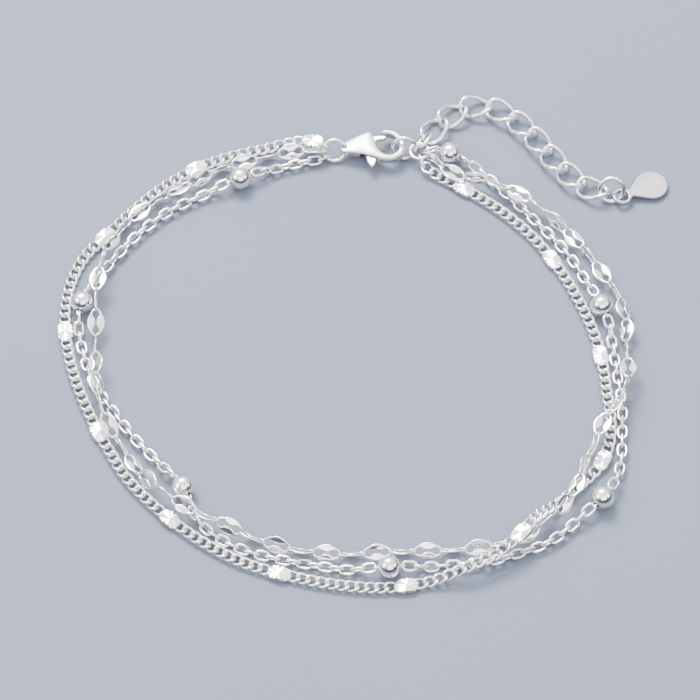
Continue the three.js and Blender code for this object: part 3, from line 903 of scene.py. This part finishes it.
@dataclass
class CableChain(SubAssembly):
    """Fine cable chain whose oval links alternate flat and on edge, and which carries the beads."""

    seat: Seat = Seat(220, 5, 0.5)
    link: WireLink = WireLink(1.67, 1.15, 0.29, corner=LONG_CORNER, steps=LONG_STEPS, square=0.75)
    pin: WireLink = WireLink(3.3, 0.58, 0.2, corner=LONG_CORNER, steps=LONG_STEPS)
    eye: EndEye = EndEye(0.27, 0.9)
    base: float = 0.58
    pitch: float = 1.09
    first: float = 0.88
    lean: float = 16.0
    sway: float = 9.0
    sway_rate: float = 0.37
    bead_radius: float = 1.15
    bead_bore: float = 0.32
    bead_lip: float = 0.05
    bead_sink: float = 0.04
    bead_bands: int = 31
    bead_sides: int = 48
    bead_sharp: float = 50.0

    def bead(self) -> Shape:
        """Build one drilled bead with its bore along Y.

        Returns:
            The bead, with a soft lip where the bore comes out.
        """
        edge = math.acos((self.bead_bore + self.bead_lip) / self.bead_radius)
        rise = np.linspace(-edge, edge, self.bead_bands)
        radius = np.concatenate((self.bead_radius * np.cos(rise), [self.bead_bore, self.bead_bore]))
        height = self.bead_radius * np.sin(rise)
        lip = height[-1] - self.bead_sink
        height = np.concatenate((height, [lip, -lip]))
        angle = turns(self.bead_sides)
        across, up = np.outer(np.cos(angle), radius), np.outer(np.sin(angle), radius)
        points = np.stack((across, np.tile(height, (self.bead_sides, 1)), up), axis=-1).reshape(-1, 3)
        return Shape(points, [(a, d, c, b) for a, b, c, d in skin(self.bead_sides, len(radius))])

    def places(self, run: float) -> list[tuple[float, WireLink]]:
        """List what lies along the strand, in order.

        Args:
            run: The strand's length.

        Returns:
            Distances along the strand, each with the open link or the bead's pin that lies there.
        """
        clear = 0.5 * (self.pin.length + self.link.length) - self.pin.wire - self.link.wire
        starts = (self.first, *(along + clear for along in BEADS_ALONG))
        ends = (*(along - clear for along in BEADS_ALONG), run - self.first)
        rows: list[tuple[float, WireLink]] = []
        for number, (start, end) in enumerate(zip(starts, ends)):
            if end > start:
                count = math.ceil((end - start) / self.pitch)
                rows += [(float(along), self.link) for along in np.linspace(start, end, count + 1)]
            if number < len(BEADS_ALONG):
                rows.append((BEADS_ALONG[number], self.pin))
        return rows

    def build(self) -> None:
        """Lay the links along the strand and thread the beads."""
        line = self.seat.line(CABLE_PLAN, self.base, CABLE_RISES)
        rows = self.places(line.run)
        shapes = {kind: kind.shape() for kind in (self.link, self.pin)}
        links = []
        for number, (along, kind) in enumerate(rows):
            heading = float(line.axes(along)[0][0])
            swing = self.lean * heading + self.sway * math.sin(self.sway_rate * number)
            links.append(shapes[kind].placed(*line.rolled(along, QUARTER_TURN * (number % 2) + swing)))
        tips = line.tip(*rows[0], -1), line.tip(*rows[-1], 1)
        links += self.seat.eyes(self.eye, tips, self.link.wire)
        self.dresser.piece("cable_links", joined(links).mesh(), WIRE, ["cable_strand"])
        bead = self.bead()
        for number, along in enumerate(BEADS_ALONG, 1):
            forward, upward, sideways = line.axes(along)
            ball = bead.placed(line.point(along), sideways, forward, upward).mesh()
            name, node = f"round_bead_{number}", f"bead_{number}"
            self.dresser.piece(name, ball, POLISHED, [node], sharp=self.bead_sharp)


@dataclass(frozen=True)
class LipRow:
    """A section of a quarter of a mirror link: its centre, where it faces, half its metal and its tilt."""

    x: float
    y: float
    faces: float
    half: float
    thick: float
    tilt: float = 0.0


@dataclass
class MirrorChain(SubAssembly):
    """Chain of long links whose sides are hammered into flat lips, with a slit between them.

    Each of turned is a link's number and its turn; the links between turn by degrees from one to the next.
    """

    seat: Seat = Seat(182, -38, 0.89)
    base: float = 0.92
    links: int = 62
    steps: int = 3
    sides: int = 12
    square: float = 0.62
    quarter: tuple[LipRow, ...] = (
        LipRow(1.343, 0.0, 0, 0.118, 0.125),
        LipRow(1.215, 0.285, 46, 0.125, 0.125),
        LipRow(0.97, 0.43, 68, 0.13, 0.12),
        LipRow(0.7, 0.51, 84, 0.185, 0.1, 4),
        LipRow(0.4, 0.49, 89, 0.36, 0.09, 8),
    )
    middle: LipRow = LipRow(0.0, 0.475, 90, 0.42, 0.09, 10)
    turned: tuple[tuple[int, float], ...] = (
        (0, 40), (2, 60), (4, 70), (7, 0), (15, 0), (18, 90), (20, 90), (23, 20), (25, 45), (37, 45),
        (39, 20), (41, 70), (42, 70), (44, 0), (46, 90), (48, 90), (51, 0), (54, 0), (57, 80), (59, 0),
        (61, 0),
    )

    def link(self) -> Shape:
        """Build one link, flat in XY with its length along X.

        Returns:
            The link, smooth through its sections.
        """
        tip, *rest = self.quarter
        rows = [(1, 1, row) for row in (tip, *rest, self.middle)] + [(-1, 1, row) for row in reversed(rest)]
        rows += [(-sign_x, -sign_y, row) for sign_x, sign_y, row in rows]
        table = []
        for sign_x, sign_y, row in rows:
            faces = math.radians(row.faces)
            facing = sign_x * math.cos(faces), sign_y * math.sin(faces)
            metal = row.half, row.thick, math.radians(row.tilt)
            table.append((sign_x * row.x, sign_y * row.y, *facing, *metal))
        fine = smooth_through(np.array(table), self.steps, closed=True)
        level = np.zeros(len(fine))
        centre = np.stack((fine[:, 0], fine[:, 1], level), axis=1)
        outward = unit(np.stack((fine[:, 2], fine[:, 3], level), axis=1))
        cos, sin = np.cos(fine[:, 6:]), np.sin(fine[:, 6:])
        across, upward = outward * cos + UP * sin, UP * cos - outward * sin
        return Stations(centre, across, upward, fine[:, 4], fine[:, 5]).loop(self.sides, self.square)

    def build(self) -> None:
        """Lay the links along the strand, each a quarter turn from the last on top of a slow turn."""
        line = self.seat.line(MIRROR_PLAN, self.base, MIRROR_RISES)
        link = self.link()
        at, turn = zip(*self.turned)
        laid = []
        for number in range(self.links):
            along = number * line.run / (self.links - 1)
            roll = QUARTER_TURN * number + float(np.interp(number, at, turn))
            laid.append(link.placed(*line.rolled(along, roll)))
        self.dresser.piece("mirror_links", joined(laid).mesh(), HAMMERED, ["mirror_chain"])


# Clasp, drawn flat round its rivet

# The body's outline: the tail over the shoulder, the claw's inside, and its outside back to the tail
BODY_RUNS = (
    [(-3.12, 0.3), (-2.95, 0.7), (-2.5, 0.98), (-1.6, 1.42), (-0.75, 1.88), (-0.25, 2.06), (0.08, 1.96)],
    [
        (0.2, 1.75), (0.34, 1.25), (0.45, 0.8), (0.64, 0.2), (1.08, -0.46), (1.7, -0.8), (2.28, -0.7),
        (2.7, -0.32), (2.86, 0.3), (2.78, 0.88), (2.48, 1.34), (2.05, 1.62), (1.5, 1.76),
    ],
    [
        (1.2, 1.82), (1.08, 2.02), (1.26, 2.24), (1.8, 2.3), (2.4, 2.14), (2.92, 1.74), (3.32, 1.15),
        (3.53, 0.5), (3.52, -0.12), (3.28, -0.74), (2.78, -1.22), (2.0, -1.48), (1.1, -1.42),
        (0.2, -1.14), (-0.9, -0.82), (-2.1, -0.56), (-2.8, -0.42), (-3.08, -0.1),
    ],
)
# The slot that the lever turns in, open at the lower edge
SLOT_OUTLINE = [
    (-0.95, 1.72), (0.9, 1.72), (0.9, -0.2), (1.05, -0.6), (1.05, -3.0), (-1.45, -3.0), (-1.45, -1.0),
    (-0.95, -0.3),
]
# The groove along the lower edge, where the casting's two halves meet
GROOVE_OUTLINE = [
    (-2.75, -0.2), (-2.1, -0.33), (-0.9, -0.6), (0.2, -0.92), (1.1, -1.2), (2.0, -1.26), (2.6, -1.04),
    (2.6, -3.0), (-2.75, -3.0),
]
# The lever: its heel, its thumb tab and its gate
LEVER_OUTLINE = [
    (-0.62, 0.45), (-0.72, -0.2), (-0.52, -0.8), (-0.4, -1.5), (-0.05, -2.1), (0.15, -2.22), (0.32, -2.08),
    (0.55, -1.5), (0.62, -0.8), (0.68, -0.2), (0.5, 0.45), (0.52, 0.9), (0.8, 1.1), (1.36, 1.2),
    (1.58, 1.44), (1.44, 1.65), (0.9, 1.66), (0.2, 1.58), (-0.4, 1.2),
]


@dataclass
class LobsterClasp(SubAssembly):
    """Cast lobster clasp with its rivet and its sprung lever."""

    place: Place = (0.55, 22.02, 1.2)
    thick: float = 1.1
    bevel: float = 0.22
    body_steps: int = 5
    voxel: float = 0.045
    wear: float = 0.5
    wear_rounds: int = 4
    crown_reach: float = 0.95
    crown_share: float = 0.76
    tail_x: tuple[float, float] = (-3.1, -1.3)
    tail_share: float = 0.55
    slot: float = 0.7
    groove: float = 0.24
    ring_room: float = 0.06
    lever_thick: float = 0.44
    lever_bevel: float = 0.14
    lever_steps: int = 4
    rivet: float = 0.3
    rivet_room: float = 0.13
    rivet_sunk: float = 0.07
    rivet_bevel: float = 0.05

    def body_outline(self) -> Array:
        """Return the points round the body."""
        runs = [smooth_through(np.array(run), self.body_steps, closed=False) for run in BODY_RUNS]
        return np.concatenate(runs)

    def crown(self, body: Mesh) -> None:
        """Make the body fullest along its middle and thin towards its tail.

        Args:
            body: The body's mesh, which is changed.
        """
        flat = np.empty(3 * len(body.vertices))
        body.vertices.foreach_get("co", flat)
        points = flat.reshape(-1, 3)
        depth = np.clip(edge_distance(points[:, :2], self.body_outline()) / self.crown_reach, 0, 1)
        low, high = self.tail_x
        tail = np.clip((points[:, 0] - low) / (high - low), 0, 1)
        points[:, 2] *= self.crown_share + (1 - self.crown_share) * np.sin(0.5 * math.pi * depth)
        points[:, 2] *= self.tail_share + (1 - self.tail_share) * eased(tail)
        body.vertices.foreach_set("co", points.ravel())

    def build(self) -> None:
        """Cast the body, cut its slot, groove and tail eye, and set the rivet and the lever in it."""
        blank = plate(self.body_outline(), [], self.thick, self.bevel)
        # The even skin and worn-down edges of a casting
        skinned = "REMESH", {"mode": "VOXEL", "voxel_size": self.voxel}
        worn = "SMOOTH", {"factor": self.wear, "iterations": self.wear_rounds}
        body = modified(blank, skinned, worn)
        self.crown(body)
        slot = plate(np.array(SLOT_OUTLINE), [], self.slot, 0.0)
        groove = plate(np.array(GROOVE_OUTLINE), [], self.groove, 0.0)
        hold = tuple(np.subtract(CLASP_RING.place, self.place))
        passage = replace(CLASP_RING, place=hold, wire=CLASP_RING.wire + self.ring_room, seam=QUARTER_TURN)
        body = with_cuts(body, [slot, groove, passage.shape().mesh()])
        pin = plate(arc(self.rivet, HOLE), [], self.thick - 2 * self.rivet_sunk, self.rivet_bevel)
        outline = smooth_through(np.array(LEVER_OUTLINE), self.lever_steps, closed=True)
        bore = arc(self.rivet + self.rivet_room, HOLE)
        lever = plate(outline, [bore], self.lever_thick, self.lever_bevel)
        for mesh in (body, pin, lever):
            mesh.transform(Matrix.Translation(self.place))
        # The body, rivet and lever all take the satin silver whose dimmed colour is painted shade
        self.dresser.piece("cast_clasp", body, SATIN_CAST_PAINTED_SHADE, ["clasp_body"], sharp=CRISP)
        self.dresser.piece("clasp_rivet", pin, SATIN_CAST_PAINTED_SHADE, [], sharp=CRISP)
        self.dresser.piece("sprung_lever", lever, SATIN_CAST_PAINTED_SHADE, ["clasp_lever"], Body.LEVER, sharp=CRISP)


# Rings, extender and tag


@dataclass
class Extender(SubAssembly):
    """Extender chain of twisted links, the small link that joins it on, and its rings."""

    link: WireLink = WireLink(3.76, 2.78, 0.48, twist=-45, steps=48, sides=14)
    connector: WireLink = WireLink(2.35, 1.85, 0.34, steps=40, sides=12)
    links: int = 9
    first: float = 1.97
    pitch: float = 2.7
    height: float = 0.75
    route_steps: int = 60
    route_nudge: float = 0.1
    connector_place: Place = (5.98, 23.25, 1.05)
    connector_turn: float = 60.0
    connector_roll: float = 130.0

    def build(self) -> None:
        """Lay the links, the connector and the four rings."""
        line = StrandLine(EXTENDER_PLAN, self.height, steps=self.route_steps, nudge=self.route_nudge)
        link = self.link.shape()
        for number in range(self.links):
            laid = link.placed(*line.rolled(self.first + number * self.pitch)).mesh()
            name, node = f"twisted_link_{number + 1}", f"extender_link_{number + 1}"
            self.dresser.piece(name, laid, WIRE, [node])
        turn = math.radians(self.connector_turn)
        forward = np.array((math.cos(turn), math.sin(turn), 0.0))
        place = rolled_frame(np.array(self.connector_place), forward, UP, self.connector_roll)
        joiner = self.connector.shape().placed(*place).mesh()
        self.dresser.piece("joining_link", joiner, WIRE, ["extender_connector"])
        for ring in (CLASP_RING, END_RING, STRAND_RING, TAG_RING):
            self.dresser.piece(f"round_{ring.node}", ring.shape().mesh(), WIRE, [ring.node])


@dataclass
class Tag(SubAssembly):
    """Plain teardrop tag of brushed sheet, with its own eye, tipping towards its round end."""

    eye: float = 1.0
    eye_gap: float = 48.0
    eye_steps: int = 32
    hole: float = 0.6
    neck: tuple[float, float] = (1.1, 0.5)
    hollow: tuple[float, float] = (0.97, 0.5)
    round_end: float = 1.72
    round_steps: int = 48
    reach: float = 3.42
    thick: float = 0.35
    bevel: float = 0.12
    place: Place = (26.14, 16.56, 0.66)
    heading: float = 27.4
    tip: float = 4.6

    def outline(self) -> Array:
        """Draw the tag from its eye by the neck to its round end and back.

        Returns:
            The points round it.
        """
        neck_x, neck_y = self.neck
        across = math.hypot(self.reach - neck_x, neck_y)
        slant = math.asin(self.round_end / across) - math.atan2(neck_y, self.reach - neck_x) + 0.5 * math.pi
        small = np.linspace(math.radians(self.eye_gap), math.radians(360 - self.eye_gap), self.eye_steps)
        large = np.linspace(-slant, slant, self.round_steps)
        rounded = arc(self.round_end, large) + (self.reach, 0.0)
        low, high = ([(x, side * y) for x, y in (self.hollow, self.neck)] for side in (-1, 1))
        return np.concatenate((arc(self.eye, small), np.array(low), rounded, np.array(high[::-1])))

    def build(self) -> None:
        """Cut the tag and lay it on its ring."""
        sheet = plate(self.outline(), [arc(self.hole, HOLE)], self.thick, self.bevel)
        turn = Matrix.Rotation(math.radians(self.heading), 4, "Z")
        dip = Matrix.Rotation(math.radians(self.tip), 4, "Y")
        sheet.transform(Matrix.Translation(self.place) @ turn @ dip)
        # The tag's dark grey silver colour is painted shade
        self.dresser.piece("teardrop_tag", sheet, BRUSHED_PAINTED_SHADE, ["tag"], sharp=CRISP)


# Stage


@dataclass(frozen=True)
class Softbox:
    """A soft light: where it hangs, how wide it is, and its power."""

    name: str
    place: Place
    width: float
    height: float
    power: float

    def build(self, target: Vector) -> None:
        """Hang the light.

        Args:
            target: The point that it faces, in metres.
        """
        lamp = bpy.data.lights.new(self.name, "AREA")
        lamp.shape = "RECTANGLE"
        lamp.size, lamp.size_y = self.width * MM, self.height * MM
        lamp.energy = self.power
        holder = shown(self.name, lamp)
        holder.location = Vector(self.place) * MM
        holder.rotation_euler = (target - holder.location).to_track_quat("-Z", "Y").to_euler()


@dataclass
class Studio:
    """Pale floor, soft lights and the camera."""

    target: Place = (-1.6, -1.15, 0.0)
    elevation: float = 57.0
    distance: float = 500.0
    lens: float = 257.14
    sensor: float = 36.0
    clip_m: tuple[float, float] = (0.01, 10.0)
    floor_colour: str = "#6d7484"
    floor_mottle: str = "#6a7181"
    floor_mottle_mm: float = 40.0
    floor_roughness: float = 0.85
    floor_size: float = 3000.0
    brightest: Place = (-0.17, 0.47, 0.866)
    room: tuple[tuple[float, str], ...] = ((0.05, "#3c4048"), (0.45, "#a2a6ae"), (0.85, "#fbfcff"))
    room_strength: float = 2.6
    lights: tuple[Softbox, ...] = (
        Softbox("back_softbox", (-90, 250, 340), 240, 160, 5.4),
        Softbox("left_softbox", (-330, -60, 260), 220, 220, 0.9),
        Softbox("right_softbox", (330, -40, 280), 180, 220, 0.5),
        Softbox("front_softbox", (70, -300, 360), 420, 280, 1.5),
    )

    def camera(self) -> None:
        """Set the camera at the viewing angle, looking at the target."""
        lens = bpy.data.cameras.new("camera")
        lens.sensor_width = self.sensor
        lens.lens = self.lens
        lens.clip_start, lens.clip_end = self.clip_m
        holder = shown("camera", lens)
        rise = math.radians(self.elevation)
        back = Vector((0.0, -math.cos(rise), math.sin(rise)))
        holder.location = (Vector(self.target) + self.distance * back) * MM
        holder.rotation_euler = back.to_track_quat("Z", "Y").to_euler()
        bpy.context.scene.camera = holder

    def floor(self) -> None:
        """Lay the pale floor."""
        half = 0.5 * self.floor_size * MM
        corners = [(-half, -half, 0), (half, -half, 0), (half, half, 0), (-half, half, 0)]
        mesh = bpy.data.meshes.new("floor")
        mesh.from_pydata(corners, [], [(0, 1, 2, 3)])
        material = bpy.data.materials.new("pale_paper")
        material.use_nodes = True
        tree = material.node_tree
        shader = tree.nodes["Principled BSDF"]
        place = add_node(tree, "ShaderNodeTexCoord").outputs["Object"]
        size = {"Scale": 1 / (self.floor_mottle_mm * MM), "Detail": 3.0}
        mottle = add_node(tree, "ShaderNodeTexNoise", size, {"Vector": place})
        tint = add_ramp(tree, mottle, ((0.0, self.floor_mottle), (1.0, self.floor_colour)))
        tree.links.new(tint.outputs["Color"], shader.inputs["Base Color"])
        shader.inputs["Roughness"].default_value = self.floor_roughness
        mesh.materials.append(material)
        shown("floor", mesh)

    def surround(self) -> None:
        """Light the room: brightest high at the back, dim low and in front."""
        world = bpy.data.worlds.new("studio")
        world.use_nodes = True
        tree = world.node_tree
        tree.nodes.clear()
        direction = add_node(tree, "ShaderNodeTexCoord").outputs["Generated"]
        towards = add_node(
            tree, "ShaderNodeVectorMath", {1: self.brightest}, {0: direction}, operation="DOT_PRODUCT"
        )
        shade = add_ramp(tree, towards.outputs["Value"], self.room)
        glow = add_node(tree, "ShaderNodeBackground", {"Strength": self.room_strength}, {"Color": shade})
        add_node(tree, "ShaderNodeOutputWorld", None, {"Surface": glow})
        bpy.context.scene.world = world

    def build(self) -> None:
        """Set up the camera, the floor, the lights and the room."""
        self.camera()
        self.floor()
        self.surround()
        for light in self.lights:
            light.build(Vector(self.target) * MM)


def main() -> None:
    """Build the studio and each part of the bracelet in order."""
    logging.basicConfig(level=logging.INFO, format="%(message)s")
    Studio().build()
    dresser = Dresser()
    for part in (CurbChain, CableChain, MirrorChain, LobsterClasp, Extender, Tag):
        part(dresser).build()
        LOG.info("%s done", part.__name__)


if __name__ == "__main__":
    main()
